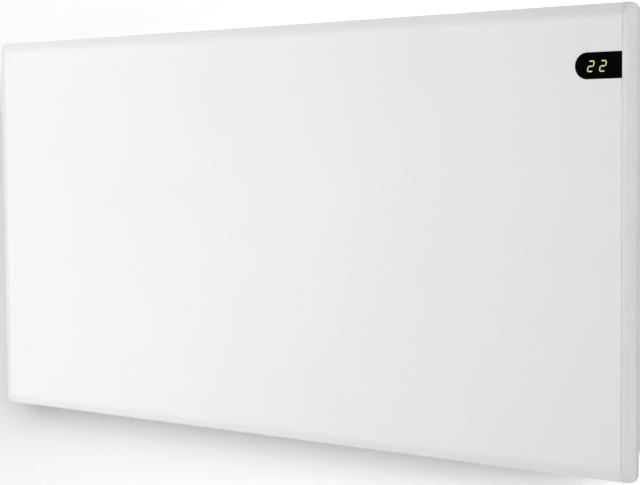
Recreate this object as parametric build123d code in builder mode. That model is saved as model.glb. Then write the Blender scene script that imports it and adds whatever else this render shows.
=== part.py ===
from build123d import *
import os
from math import cos, radians, sin, tan

os.makedirs("parts", exist_ok=True)

# Frame: X to the right along the heater, Y into the wall, Z up.
# The origin is the centre of the bracket's wall holes, in the plane of the wall.

# ---- overall sizes, mm ----
panel_width = 719.0
panel_height = 370.0
overall_depth = 84.0
wall_gap = 20.0

# ---- front panel and end cap ----
panel_sheet = 1.0
cap_wall = 2.2
corner_radius = 7.0
face_corner_radius = 4.5
bevel_run = 8.8
bevel_drop = 3.8
bevel_blend = 10.0
rim_edge_radius = 0.6
rim_depth = 5.0
end_strip_width = 10.9
seam_gap = 0.25
cap_lip_reach = 5.0
cap_lip_thickness = 2.0
cap_lip_end_margin = 20.0

# ---- rear casing ----
casing_inset = 16.0
casing_sheet = 0.8
casing_bend_radius = 4.0
flange_width = 7.0
control_width = 47.0
housing_gap = 0.5
housing_wall = 2.0

# ---- display ----
window_height = 20.8
window_length = 40.6
window_drop = 47.5
window_recess = 0.1
window_fit = 0.15
window_flange = 1.5
window_flange_thickness = 1.2
inner_fit = 0.1
digit_height = 8.8
digit_width = 5.4
digit_pitch = 10.4
digit_slant = 10.0
digit_inset = 32.2
digit_drop = 0.5
segment_width = 0.85
segment_gap = 0.2
segment_proud = 0.05
module_length = 26.0
module_height = 16.0
holder_length = 46.0
holder_height = 36.0
holder_depth = 5.0
holder_corner_radius = 2.0
board_thickness = 1.6
display_board_length = 36.0
display_board_height = 32.0
display_board_inset = 36.0
ribbon_width = 8.0
ribbon_thickness = 0.6
ribbon_bend = 3.0
ribbon_inset = 41.5
ribbon_depth = 13.2
ribbon_drop = 10.0

# ---- buttons and switch on the end of the control housing ----
button_radius = 4.5
button_pitch = 16.0
button_drop = 33.0
button_proud = 1.4
button_clearance = 0.3
button_flange_radius = 5.8
button_flange_thickness = 1.2
button_edge_radius = 0.8
button_travel = 0.8
mark_depth = 0.3
mark_length = 4.4
mark_width = 0.9
tactile_side = 6.0
tactile_height = 3.5
tactile_corner_radius = 0.5
plunger_radius = 1.7
plunger_height = 1.2
switch_drop = 107.0
switch_frame_width = 15.0
switch_frame_height = 21.0
switch_frame_proud = 1.8
switch_frame_corner = 1.0
switch_body_width = 12.8
switch_body_height = 18.8
switch_body_depth = 17.0
switch_opening_width = 11.2
switch_opening_height = 18.0
switch_pocket_depth = 10.0
switch_cutout_fit = 0.1
rocker_width = 10.4
rocker_half_length = 8.0
rocker_top = 4.5
rocker_dish = 1.3
rocker_foot_half_length = 4.6
rocker_foot = 4.0
rocker_rest_angle = 9.0
rocker_pivot_depth = 2.5
rocker_pin_radius = 1.2
rocker_pin_reach = 1.0
rocker_pin_fit = 0.06
rocker_mark_depth = 0.25
rocker_ring_radius = 2.0
tab_width = 4.8
tab_thickness = 0.8
tab_length = 7.0
tab_pitch = 6.5

# ---- boards in the control housing ----
boss_radius = 3.0
board_screw_radius = 1.2
board_screw_head = 2.4
board_screw_head_height = 1.5
board_screw_length = 6.0
control_board_width = 42.0
control_board_height = 65.0
control_board_drop = 36.5
control_board_shift = 1.0
power_board_side_gap = 1.5
power_board_height = 112.0
power_board_rise = 99.0
power_board_standoff = 8.4
board_corner_inset = 4.0
relay_size = (19.0, 15.5, 15.0)
relay_shift = -6.5
relay_rise = 58.0
relay_edge_radius = 1.0
transformer_size = (30.0, 22.0, 26.0)
transformer_shift = -1.0
transformer_rise = 24.0
transformer_edge_radius = 2.0
capacitor_radius = 5.0
capacitor_height = 16.0
capacitor_shift = 11.0
capacitor_rise = 78.0
capacitor_edge_radius = 0.8
connector_size = (22.0, 10.0, 7.5)
connector_pitch = 4.5
connector_lift = 0.5
connector_shift = -1.0
connector_edge_radius = 0.6
terminal_pitch = 10.0
terminal_size = (32.0, 20.0, 22.0)
terminal_rise = 30.0
terminal_shift = -1.0
terminal_screw_radius = 2.2
terminal_screw_depth = 6.5
terminal_wire_radius = 2.0
terminal_wire_height = 7.0
terminal_wire_depth = 5.5

# ---- cord inlet, grommet, sensor ----
inlet_inset = 25.5
inlet_depth = 30.0
inlet_bore_radius = 3.8
inlet_body_radius = 6.9
inlet_flange_radius = 9.0
inlet_nose_radius = 6.2
inlet_nose_length = 9.0
inlet_nut_height = 5.0
inlet_fit = 0.1
grommet_depth = 17.5
grommet_rise = 73.0
grommet_radius = 9.0
grommet_bore = 7.0
grommet_flange = 11.0
grommet_flange_thickness = 1.6
sensor_inset = 8.5
sensor_depth = 9.2
sensor_radius = 2.5
sensor_length = 15.0
sensor_reach = 6.0
sensor_edge_radius = 1.5

# ---- air openings ----
grille_end_margin = 19.75
grille_width = 40.0
grille_thickness = 1.2
grille_border = 5.0
grille_corner_radius = 2.5
grille_slot_width = 4.0
grille_slot_pitch = 9.0
louvre_length = 26.0
louvre_height = 4.0
louvre_pitch = 34.0
louvre_row_pitch = 12.0
louvre_end_margin = 47.0
louvre_drop = 65.0

# ---- heating element ----
element_depth = 26.0
element_rise = 64.0
element_end_margin = 62.25
fin_reach = 24.0
fin_thickness = 1.6
fin_core_radius = 7.0
rib_radii = (13.0, 19.5)
rib_span = 8.0
rib_thickness = 1.2
fin_group_length = 31.0
fin_gap_width = 3.0
rod_radius = 4.0
rod_overhang = 20.0
terminal_pin_radius = 1.6
terminal_pin_length = 12.0
bush_radius = 8.0
bush_flange_radius = 11.0
bush_flange_length = 5.0
bush_body_length = 9.0
bush_fit = 0.05
element_bracket_sheet = 1.5
element_bracket_height = 55.0
element_bracket_foot = 16.0
element_bracket_front = 20.0
element_bracket_corner = 1.0
shield_sheet = 0.5
shield_gap = 3.2
shield_turn = 12.0
shield_top_margin = 20.0
shield_bottom_margin = 10.0
cutout_radius = 8.0
cutout_height = 7.0
cutout_inset = 91.0
cutout_rise = 53.0
cutout_ear_length = 24.0
cutout_ear_width = 8.0
cutout_ear_thickness = 1.0

# ---- leads ----
lead_radius = 1.1
lead_bend = 4.0
signal_lead_radius = 1.5
floor_lead_rise = 11.0
floor_lead_depth = 8.0
lead_front_offset = 8.0
lead_back_offset = 3.0
lead_rise_in_grommet = 3.2
earth_drop_in_grommet = 3.8
lead_inside_reach = 6.0
pin_run = 8.0
supply_straight = 18.0
sensor_lead_shift = 2.0
signal_rise = 94.0

# ---- casing screws ----
screw_radius = 1.5
screw_hole_radius = 1.6
screw_head_radius = 3.0
screw_head_height = 1.8
screw_head_edge = 0.9
screw_point = 1.5
top_screw_count = 6
top_screw_margin = 24.75
side_screw_margin = 75.0
cap_screw_margin = 20.0

# ---- wall bracket ----
wall_hole_spacing_x = 340.0
wall_hole_spacing_z = 220.0
wall_hole_radius = 3.0
bracket_sheet = 2.0
upright_width = 32.0
upright_depth = 16.0
upright_reach = 6.0
hook_lip_rise = 29.0
hook_clearance = 0.5
hook_width = 16.0
hook_tip_height = 7.0
hook_tip_gap = 2.7
hook_window_width = 24.0
hook_window_height = 14.0
rail_height = 24.0
rail_sheet = 1.5
rail_lip = 6.0
rail_z = 84.0
rail_notch_clearance = 0.5
rivet_radius = 2.0
rivet_head_radius = 3.4
rivet_head_height = 1.2
rivet_head_edge = 0.7
rivet_pitch = 14.0
rivet_fit = 0.05
latch_width = 16.0
latch_pivot_depth = 9.0
latch_drop = 17.0
latch_pin_radius = 2.0
latch_pin_fit = 0.06
latch_pin_head = 3.2
latch_pin_head_length = 1.2
latch_hub_radius = 4.5
latch_beam_height = 4.0
latch_beam_drop = 2.0
latch_nose_reach = 7.0
latch_nose_height = 1.5
latch_nose_length = 4.0
latch_pad_rise = 8.0
latch_pad_thickness = 2.5
latch_pad_corner = 1.0
latch_pad_front = 7.0
latch_pad_back = 4.0
latch_post_width = 3.0
latch_window_width = 20.0
latch_window_height = 10.5
latch_window_clearance = 0.5
leaf_width = 10.0
leaf_thickness = 0.6
leaf_drop = 36.0
leaf_foot_height = 12.0
leaf_reach = 15.0
leaf_clearance = 0.3

# ---- planes and edges that the pieces share ----
front_y = -overall_depth
rim_y = front_y + bevel_drop
slab_back_y = rim_y + rim_depth
sheet_back_y = front_y + panel_sheet
casing_back_y = -wall_gap
casing_left_x = casing_inset - panel_width / 2
housing_right_x = panel_width / 2 - casing_inset
housing_left_x = housing_right_x - control_width
casing_right_x = housing_left_x - housing_gap
casing_half_height = panel_height / 2 - casing_inset
casing_centre_x = (casing_left_x + casing_right_x) / 2
casing_width = casing_right_x - casing_left_x
casing_floor_y = casing_back_y - casing_sheet
housing_floor_y = casing_back_y - housing_wall
housing_side_x = housing_right_x - housing_wall
seam_x = panel_width / 2 - end_strip_width
cap_edge_x = seam_x + seam_gap
flange_line = casing_inset - flange_width / 2
window_left_x = cap_edge_x - window_length
window_round_x = window_left_x + window_height / 2
far = 2000.0
casing_middle_y = (slab_back_y + casing_back_y) / 2
housing_middle_x = (housing_left_x + housing_right_x) / 2

# ---- places of the inner pieces, from the walls that carry them ----
window_z = panel_height / 2 - window_drop
digit_centre_x = panel_width / 2 - digit_inset
digit_centre_z = window_z - digit_drop
display_board_x = panel_width / 2 - display_board_inset
ribbon_x = panel_width / 2 - ribbon_inset
ribbon_y = slab_back_y + ribbon_depth
control_y = casing_middle_y
button_centre_z = casing_half_height - button_drop
switch_z = casing_half_height - switch_drop
control_board_z = casing_half_height - control_board_drop
control_board_y = control_y + control_board_shift
power_board_width = control_width - 2 * (housing_wall + power_board_side_gap)
power_board_bottom_z = power_board_rise - casing_half_height
power_board_z = power_board_bottom_z + power_board_height / 2
terminal_x = housing_middle_x + terminal_shift
terminal_z = terminal_rise - casing_half_height
connector_x = housing_middle_x + connector_shift
capacitor_x = housing_middle_x + capacitor_shift
capacitor_z = power_board_bottom_z + capacitor_rise
inlet_x = housing_right_x - inlet_inset
inlet_y = casing_back_y - inlet_depth
sensor_x = housing_right_x - sensor_inset
sensor_y = slab_back_y + sensor_depth
grommet_y = casing_back_y - grommet_depth
grommet_z = grommet_rise - casing_half_height
grille_length = casing_width - 2 * grille_end_margin
louvre_columns = int((casing_width - 2 * louvre_end_margin) // louvre_pitch)
louvre_z = casing_half_height - louvre_drop
element_y = casing_back_y - element_depth
element_z = element_rise - casing_half_height
fin_length = casing_width - 2 * element_end_margin
fin_groups = int(fin_length // fin_group_length)
shield_y = slab_back_y + shield_gap
cutout_x = casing_right_x - cutout_inset
cutout_z = element_z + cutout_rise
floor_lead_y = casing_back_y - floor_lead_depth
floor_lead_z = floor_lead_rise - casing_half_height
top_screw_pitch = (casing_width - 2 * top_screw_margin) / (top_screw_count - 1)
side_screw_pitch = panel_height / 2 - side_screw_margin
cap_screw_pitch = (panel_height - 2 * cap_screw_margin) / 3
hook_lip_z = hook_lip_rise - casing_half_height
latch_pivot_y = -latch_pivot_depth
latch_pivot_z = casing_half_height - latch_drop
latch_nose_y = casing_back_y - latch_nose_reach
latch_pad_z = latch_pivot_z + latch_pad_rise
latch_pad_front_y = latch_pivot_y - latch_pad_front
latch_pad_back_y = latch_pivot_y + latch_pad_back
leaf_foot_z = latch_pivot_z - leaf_drop
leaf_tip_y = -leaf_reach
upright_top_z = latch_pivot_z + upright_reach


def wall_plane(y):
    """Plane facing the viewer at depth y; its local axes are X and Z."""
    return Plane.XZ.offset(-y)


def side_plane(x):
    """Plane across the heater at x; its local axes are Y and Z."""
    return Plane.YZ.offset(x)


def level_plane(z):
    """Level plane at height z; its local axes are X and Y."""
    return Plane.XY.offset(z)


def keep(piece, name):
    """Label a finished piece and write it under its name."""
    piece.part.label = name
    export_step(piece.part, f"parts/{name}.step")


def slab(wall, back):
    """The front's bevelled form, drawn in by wall all round, from the depth back to its own face."""
    width = panel_width - 2 * wall
    height = panel_height - 2 * wall
    with BuildPart() as form:
        with BuildSketch(wall_plane(back)):
            RectangleRounded(width, height, corner_radius - wall)
        extrude(amount=back - rim_y - wall)
        with BuildSketch(wall_plane(rim_y + wall)):
            RectangleRounded(width, height, corner_radius - wall)
        with BuildSketch(wall_plane(front_y + wall)):
            RectangleRounded(width - 2 * bevel_run, height - 2 * bevel_run, face_corner_radius)
        loft(ruled=True)
        face_edges = form.edges().group_by(Axis.Y)[0]
        fillet(face_edges, bevel_blend - wall)
    return form.part


def window_outline(grow, right_x):
    """Display opening in a sketch: round at the left, straight at the right end."""
    half_height = window_height / 2 + grow
    straight = right_x - window_round_x
    with Locations((window_round_x, window_z)):
        Circle(half_height)
    with Locations((window_round_x + straight / 2, window_z)):
        Rectangle(straight, 2 * half_height)


def rounded_box(x_min, x_max, half_height, y_front, y_back, radius):
    """Upright box with rounded back edges, open work for a bent or moulded tray."""
    with BuildPart() as form:
        with BuildSketch(wall_plane(y_front)):
            with Locations(((x_min + x_max) / 2, 0)):
                Rectangle(x_max - x_min, 2 * half_height)
        extrude(amount=y_front - y_back)
        fillet(form.edges().filter_by(Axis.Y), radius)
        fillet(form.faces().sort_by(Axis.Y)[-1].edges(), radius)
    return form.part


flange_screw_z = panel_height / 2 - flange_line
top_screw_span = (top_screw_count - 1) * top_screw_pitch
panel_screw_points = [
    (casing_centre_x - top_screw_span / 2 + step * top_screw_pitch, side * flange_screw_z)
    for step in range(top_screw_count)
    for side in (-1, 1)
]
panel_screw_points += [
    (flange_line - panel_width / 2, row * side_screw_pitch) for row in (-1, 0, 1)
]
housing_screw_points = [
    (housing_middle_x, side * flange_screw_z) for side in (-1, 1)
]
cap_screw_points = [
    (panel_width / 2 - flange_line, row * cap_screw_pitch) for row in (-1.5, -0.5, 0.5, 1.5)
]

# ======== front ========
with BuildPart() as front_form:
    add(slab(0, slab_back_y))
    rim_edges = front_form.edges().filter_by_position(Axis.Y, rim_y - 0.01, rim_y + 0.01)
    fillet(rim_edges, rim_edge_radius)

with BuildPart() as front_panel:
    add(front_form.part)
    add(slab(panel_sheet, slab_back_y - panel_sheet), mode=Mode.SUBTRACT)
    with BuildSketch(wall_plane(slab_back_y)):
        with Locations(((casing_left_x + seam_x) / 2, 0)):
            Rectangle(seam_x - casing_left_x, 2 * casing_half_height)
    extrude(amount=rim_depth, mode=Mode.SUBTRACT)
    with BuildSketch(wall_plane(0)):
        with Locations((seam_x + far / 2, 0)):
            Rectangle(far, far)
    extrude(amount=far, mode=Mode.SUBTRACT)
    with BuildSketch(wall_plane(rim_y)):
        window_outline(0, cap_edge_x)
    extrude(amount=far, mode=Mode.SUBTRACT)
    with BuildSketch(wall_plane(slab_back_y)):
        with Locations(*panel_screw_points, *housing_screw_points):
            Circle(screw_hole_radius)
    extrude(amount=rim_depth / 2, mode=Mode.SUBTRACT)
keep(front_panel, "front_panel")

with BuildPart() as right_end_cap:
    add(front_form.part)
    add(slab(cap_wall, slab_back_y - cap_wall), mode=Mode.SUBTRACT)
    with BuildSketch(wall_plane(slab_back_y)):
        Rectangle(2 * housing_right_x, 2 * casing_half_height)
    extrude(amount=cap_wall, mode=Mode.SUBTRACT)
    with BuildSketch(wall_plane(0)):
        with Locations((cap_edge_x - far / 2, 0)):
            Rectangle(far, far)
    extrude(amount=far, mode=Mode.SUBTRACT)
    with BuildSketch(wall_plane(slab_back_y)):
        with Locations(((housing_right_x + cap_edge_x + cap_wall) / 2, 0)):
            Rectangle(cap_edge_x + cap_wall - housing_right_x, 2 * (casing_half_height - seam_gap))
    extrude(amount=cap_wall)
    with BuildSketch(wall_plane(sheet_back_y + inner_fit + cap_lip_thickness)):
        with Locations((cap_edge_x + (cap_wall - cap_lip_reach) / 2, 0)):
            Rectangle(cap_lip_reach + cap_wall, panel_height - 2 * cap_lip_end_margin)
        with Locations((cap_edge_x - cap_lip_reach / 2, window_z)):
            Rectangle(cap_lip_reach, holder_height + 2 * window_fit, mode=Mode.SUBTRACT)
    extrude(amount=cap_lip_thickness)
    with BuildSketch(wall_plane(slab_back_y)):
        with Locations(*cap_screw_points):
            Circle(screw_hole_radius)
    extrude(amount=cap_wall, mode=Mode.SUBTRACT)
keep(right_end_cap, "right_end_cap")

# ======== display ========
window_right_x = cap_edge_x - window_fit
window_front_y = front_y + window_recess
flange_front_y = sheet_back_y + inner_fit
flange_back_y = flange_front_y + window_flange_thickness
holder_back_y = flange_front_y + holder_depth
holder_x = window_right_x - holder_length / 2


def segment(start, end):
    """One pointed bar of a digit, from corner to corner of its figure, slanted like the digit."""
    along = (Vector(*end) - Vector(*start)).normalized()
    across = Vector(-along.Y, along.X)
    half = segment_width / 2
    tail = Vector(*start) + along * segment_gap
    head = Vector(*end) - along * segment_gap
    corners = [
        tail,
        tail + (along + across) * half,
        head + (across - along) * half,
        head,
        head - (along + across) * half,
        tail + (along - across) * half,
    ]
    lean = tan(radians(digit_slant))
    Polygon(*[(corner.X + corner.Y * lean, corner.Y) for corner in corners], align=None)


def two(centre_x):
    """The bars that show a figure two."""
    half_width = (digit_width - segment_width) / 2
    half_height = (digit_height - segment_width) / 2
    bars = [
        ((-half_width, half_height), (half_width, half_height)),
        ((half_width, half_height), (half_width, 0)),
        ((-half_width, 0), (half_width, 0)),
        ((-half_width, 0), (-half_width, -half_height)),
        ((-half_width, -half_height), (half_width, -half_height)),
    ]
    with Locations((centre_x, digit_centre_z)):
        for start, end in bars:
            segment(start, end)


with BuildPart() as display_digits:
    with BuildSketch(wall_plane(flange_back_y)):
        for side in (-1, 1):
            two(digit_centre_x + side * digit_pitch / 2)
    extrude(amount=flange_back_y - window_front_y + segment_proud)
keep(display_digits, "display_digits")

with BuildPart() as display_window:
    with BuildSketch(wall_plane(flange_back_y)):
        window_outline(-window_fit, window_right_x)
    extrude(amount=flange_back_y - window_front_y)
    with BuildSketch(wall_plane(flange_back_y)):
        window_outline(window_flange, window_right_x)
    extrude(amount=window_flange_thickness)
    add(display_digits.part, mode=Mode.SUBTRACT)
keep(display_window, "display_window")

with BuildPart() as display_holder:
    with BuildSketch(wall_plane(holder_back_y)):
        with Locations((holder_x, window_z)):
            RectangleRounded(holder_length, holder_height, holder_corner_radius)
        with Locations((digit_centre_x, digit_centre_z)):
            Rectangle(module_length + 2 * window_fit, module_height + 2 * window_fit, mode=Mode.SUBTRACT)
    extrude(amount=holder_depth)
    with BuildSketch(wall_plane(flange_back_y)):
        window_outline(window_flange + window_fit, cap_edge_x)
    extrude(amount=window_flange_thickness, mode=Mode.SUBTRACT)
keep(display_holder, "display_holder")

with BuildPart() as display_module:
    with BuildSketch(wall_plane(holder_back_y)):
        with Locations((digit_centre_x, digit_centre_z)):
            Rectangle(module_length, module_height)
    extrude(amount=holder_back_y - flange_back_y)
keep(display_module, "display_module")

with BuildPart() as display_board:
    with BuildSketch(wall_plane(holder_back_y + board_thickness)):
        with Locations((display_board_x, window_z)):
            Rectangle(display_board_length, display_board_height)
    extrude(amount=board_thickness)
keep(display_board, "display_board")

# ======== control housing ========
button_flange_x = housing_side_x - button_clearance
board_face_x = button_flange_x - button_flange_thickness - button_travel - button_clearance
board_face_x -= tactile_height + plunger_height
board_back_x = board_face_x - board_thickness
button_rows = {
    "plus": button_centre_z + button_pitch,
    "minus": button_centre_z,
    "ok": button_centre_z - button_pitch,
}
switch_cutout_width = switch_body_width + 2 * switch_cutout_fit
switch_cutout_height = switch_body_height + 2 * switch_cutout_fit
power_board_back_y = housing_floor_y - power_board_standoff
power_board_face_y = power_board_back_y - board_thickness


def board_corners(centre_a, centre_b, width, height):
    """Screw places at a board's four corners."""
    reach_a = width / 2 - board_corner_inset
    reach_b = height / 2 - board_corner_inset
    return [(centre_a + a * reach_a, centre_b + b * reach_b) for a in (-1, 1) for b in (-1, 1)]


control_board_screws = board_corners(
    control_board_y, control_board_z, control_board_width, control_board_height
)
power_board_screws = board_corners(
    housing_middle_x, power_board_z, power_board_width, power_board_height
)

with BuildPart() as control_housing:
    add(
        rounded_box(
            housing_left_x,
            housing_right_x,
            casing_half_height,
            slab_back_y,
            casing_back_y,
            casing_bend_radius,
        )
    )
    with BuildSketch(wall_plane(slab_back_y + housing_wall)):
        with Locations(((housing_left_x + housing_right_x + flange_width) / 2, 0)):
            Rectangle(control_width + flange_width, 2 * (casing_half_height + flange_width))
    extrude(amount=housing_wall)
    add(
        rounded_box(
            housing_left_x + housing_wall,
            housing_side_x,
            casing_half_height - housing_wall,
            slab_back_y,
            housing_floor_y,
            casing_bend_radius - housing_wall,
        ),
        mode=Mode.SUBTRACT,
    )
    with BuildSketch(side_plane(board_face_x)):
        with Locations(*control_board_screws):
            Circle(boss_radius)
            Circle(board_screw_radius + rivet_fit, mode=Mode.SUBTRACT)
    extrude(amount=housing_side_x - board_face_x)
    with BuildSketch(wall_plane(housing_floor_y)):
        with Locations(*power_board_screws):
            Circle(boss_radius)
            Circle(board_screw_radius + rivet_fit, mode=Mode.SUBTRACT)
    extrude(amount=power_board_standoff)
    with BuildSketch(side_plane(housing_side_x)):
        with Locations(*[(control_y, z) for z in button_rows.values()]):
            Circle(button_radius + button_clearance)
        with Locations((control_y, switch_z)):
            Rectangle(switch_cutout_width, switch_cutout_height)
    extrude(amount=housing_wall, mode=Mode.SUBTRACT)
    with BuildSketch(side_plane(housing_left_x)):
        with Locations((grommet_y, grommet_z)):
            Circle(grommet_radius)
    extrude(amount=housing_wall, mode=Mode.SUBTRACT)
    with BuildSketch(level_plane(-casing_half_height)):
        with Locations((inlet_x, inlet_y)):
            Circle(inlet_body_radius + inlet_fit)
        with Locations((sensor_x, sensor_y)):
            Circle(sensor_radius + inlet_fit)
    extrude(amount=housing_wall, mode=Mode.SUBTRACT)
    with BuildSketch(wall_plane(slab_back_y + housing_wall)):
        with Locations(*housing_screw_points, *cap_screw_points):
            Circle(screw_hole_radius)
    extrude(amount=housing_wall, mode=Mode.SUBTRACT)
keep(control_housing, "control_housing")


def button_mark(name):
    """Engraved sign of a button, in a sketch: a cross, a bar or a ring."""
    if name == "ok":
        Circle(mark_length / 2)
        Circle(mark_length / 2 - mark_width, mode=Mode.SUBTRACT)
    else:
        Rectangle(mark_length, mark_width)
    if name == "plus":
        Rectangle(mark_width, mark_length)


for button_name, button_z in button_rows.items():
    with BuildPart() as button:
        with BuildSketch(side_plane(button_flange_x - button_flange_thickness)):
            with Locations((control_y, button_z)):
                Circle(button_flange_radius)
        extrude(amount=button_flange_thickness)
        with BuildSketch(side_plane(button_flange_x)):
            with Locations((control_y, button_z)):
                Circle(button_radius)
        extrude(amount=housing_right_x + button_proud - button_flange_x)
        fillet(button.edges().group_by(Axis.X)[-1], button_edge_radius)
        with BuildSketch(side_plane(housing_right_x + button_proud - mark_depth)):
            with Locations((control_y, button_z)):
                button_mark(button_name)
        extrude(amount=mark_depth, mode=Mode.SUBTRACT)
    keep(button, f"{button_name}_button")

with BuildPart() as tactile_switches:
    with BuildSketch(side_plane(board_face_x)):
        with Locations(*[(control_y, z) for z in button_rows.values()]):
            RectangleRounded(tactile_side, tactile_side, tactile_corner_radius)
    extrude(amount=tactile_height)
    with BuildSketch(side_plane(board_face_x + tactile_height)):
        with Locations(*[(control_y, z) for z in button_rows.values()]):
            Circle(plunger_radius)
    extrude(amount=plunger_height)
keep(tactile_switches, "tactile_switches")

with BuildPart() as control_board:
    with BuildSketch(side_plane(board_back_x)):
        with Locations((control_board_y, control_board_z)):
            Rectangle(control_board_width, control_board_height)
        with Locations(*control_board_screws):
            Circle(board_screw_radius + rivet_fit, mode=Mode.SUBTRACT)
    extrude(amount=board_thickness)
keep(control_board, "control_board")

with BuildPart() as power_board:
    with BuildSketch(wall_plane(power_board_back_y)):
        with Locations((housing_middle_x, power_board_z)):
            Rectangle(power_board_width, power_board_height)
        with Locations(*power_board_screws):
            Circle(board_screw_radius + rivet_fit, mode=Mode.SUBTRACT)
    extrude(amount=board_thickness)
keep(power_board, "power_board")

with BuildPart() as board_screws:
    with BuildSketch(side_plane(board_back_x - board_screw_head_height)):
        with Locations(*control_board_screws):
            Circle(board_screw_head)
    extrude(amount=board_screw_head_height)
    with BuildSketch(side_plane(board_back_x)):
        with Locations(*control_board_screws):
            Circle(board_screw_radius)
    extrude(amount=board_screw_length)
    with BuildSketch(wall_plane(power_board_face_y)):
        with Locations(*power_board_screws):
            Circle(board_screw_head)
    extrude(amount=board_screw_head_height)
    with BuildSketch(wall_plane(power_board_face_y + board_screw_length)):
        with Locations(*power_board_screws):
            Circle(board_screw_radius)
    extrude(amount=board_screw_length)
keep(board_screws, "board_screws")

# ---- rocker switch ----
switch_face_x = housing_right_x + switch_frame_proud
rocker_pivot_x = housing_right_x - rocker_pivot_depth
rocker_lean = radians(rocker_rest_angle)
rocker_plane = Plane(
    origin=(rocker_pivot_x, control_y, switch_z),
    x_dir=(-sin(rocker_lean), 0, cos(rocker_lean)),
    z_dir=(0, 1, 0),
)

with BuildPart() as power_switch_body:
    with BuildSketch(side_plane(housing_right_x)):
        with Locations((control_y, switch_z)):
            RectangleRounded(switch_frame_width, switch_frame_height, switch_frame_corner)
    extrude(amount=switch_frame_proud)
    with BuildSketch(side_plane(housing_right_x - switch_body_depth)):
        with Locations((control_y, switch_z)):
            Rectangle(switch_body_width, switch_body_height)
    extrude(amount=switch_body_depth)
    with BuildSketch(side_plane(switch_face_x - switch_pocket_depth)):
        with Locations((control_y, switch_z)):
            Rectangle(switch_opening_width, switch_opening_height)
    extrude(amount=switch_pocket_depth, mode=Mode.SUBTRACT)
    with BuildSketch(wall_plane(control_y)):
        with Locations((rocker_pivot_x, switch_z)):
            Circle(rocker_pin_radius + rocker_pin_fit)
    extrude(amount=switch_body_width / 2, both=True, mode=Mode.SUBTRACT)
    with BuildSketch(side_plane(housing_right_x - switch_body_depth - tab_length)):
        with Locations((control_y, switch_z)):
            with GridLocations(0, tab_pitch, 1, 2):
                Rectangle(tab_width, tab_thickness)
    extrude(amount=tab_length)
keep(power_switch_body, "power_switch_body")

facet = Vector(rocker_half_length, rocker_dish).normalized()


def facet_plane(side):
    """Plane on the rocker's upper (1) or lower (-1) facet, at its middle."""
    centre = rocker_plane.from_local_coords(
        (side * rocker_half_length / 2, rocker_top - rocker_dish / 2, 0)
    )
    along = rocker_plane.x_dir * facet.X + rocker_plane.y_dir * facet.Y * side
    outward = rocker_plane.y_dir * facet.X - rocker_plane.x_dir * facet.Y * side
    return Plane(origin=centre, x_dir=along, z_dir=outward)


with BuildPart() as power_switch_marks:
    with BuildSketch(facet_plane(1).offset(-rocker_mark_depth)):
        Rectangle(mark_length, mark_width)
    extrude(amount=rocker_mark_depth)
    with BuildSketch(facet_plane(-1).offset(-rocker_mark_depth)):
        Circle(rocker_ring_radius)
        Circle(rocker_ring_radius - mark_width, mode=Mode.SUBTRACT)
    extrude(amount=rocker_mark_depth)
keep(power_switch_marks, "power_switch_marks")

with BuildPart() as power_switch_rocker:
    with BuildSketch(rocker_plane):
        with BuildLine():
            Polyline(
                (-rocker_foot_half_length, -rocker_foot),
                (rocker_foot_half_length, -rocker_foot),
                (rocker_half_length, rocker_top),
                (0, rocker_top - rocker_dish),
                (-rocker_half_length, rocker_top),
                close=True,
            )
        make_face()
    extrude(amount=rocker_width / 2, both=True)
    with BuildSketch(rocker_plane):
        Circle(rocker_pin_radius)
    extrude(amount=rocker_width / 2 + rocker_pin_reach, both=True)
    add(power_switch_marks.part, mode=Mode.SUBTRACT)
keep(power_switch_rocker, "power_switch_rocker")

# ---- parts on the power board ----
board_parts = {
    "power_relay": (relay_size, relay_shift, relay_rise, relay_edge_radius),
    "supply_transformer": (
        transformer_size,
        transformer_shift,
        transformer_rise,
        transformer_edge_radius,
    ),
}
for part_name, (part_size, shift, rise, edge) in board_parts.items():
    with BuildPart() as board_part:
        with BuildSketch(wall_plane(power_board_face_y)):
            with Locations((housing_middle_x + shift, power_board_bottom_z + rise)):
                Rectangle(part_size[0], part_size[2])
        extrude(amount=part_size[1])
        fillet(board_part.edges().filter_by(Axis.Y), edge)
    keep(board_part, part_name)

with BuildPart() as smoothing_capacitor:
    with BuildSketch(wall_plane(power_board_face_y)):
        with Locations((capacitor_x, capacitor_z)):
            Circle(capacitor_radius)
    extrude(amount=capacitor_height)
    fillet(smoothing_capacitor.edges().group_by(Axis.Y)[0], capacitor_edge_radius)
keep(smoothing_capacitor, "smoothing_capacitor")

connector_bottom_z = power_board_bottom_z + connector_lift
with BuildPart() as lead_connector:
    with BuildSketch(level_plane(connector_bottom_z)):
        with Locations((connector_x, power_board_face_y - connector_size[1] / 2)):
            Rectangle(connector_size[0], connector_size[1])
    extrude(amount=connector_size[2])
    fillet(lead_connector.edges().filter_by(Axis.Z), connector_edge_radius)
keep(lead_connector, "lead_connector")

with BuildPart() as terminal_block:
    with BuildSketch(wall_plane(housing_floor_y)):
        with Locations((terminal_x, terminal_z)):
            Rectangle(terminal_size[0], terminal_size[2])
    extrude(amount=terminal_size[1])
    with BuildSketch(wall_plane(housing_floor_y - terminal_size[1])):
        with Locations((terminal_x, terminal_z)):
            with GridLocations(terminal_pitch, terminal_size[2] / 2, 3, 2):
                Circle(terminal_screw_radius)
    extrude(amount=-terminal_screw_depth, mode=Mode.SUBTRACT)
    with BuildSketch(level_plane(terminal_z - terminal_size[2] / 2)):
        with Locations((terminal_x, housing_floor_y - terminal_wire_height)):
            with GridLocations(terminal_pitch, 0, 3, 1):
                Circle(terminal_wire_radius)
    extrude(amount=terminal_wire_depth, mode=Mode.SUBTRACT)
keep(terminal_block, "terminal_block")

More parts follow.
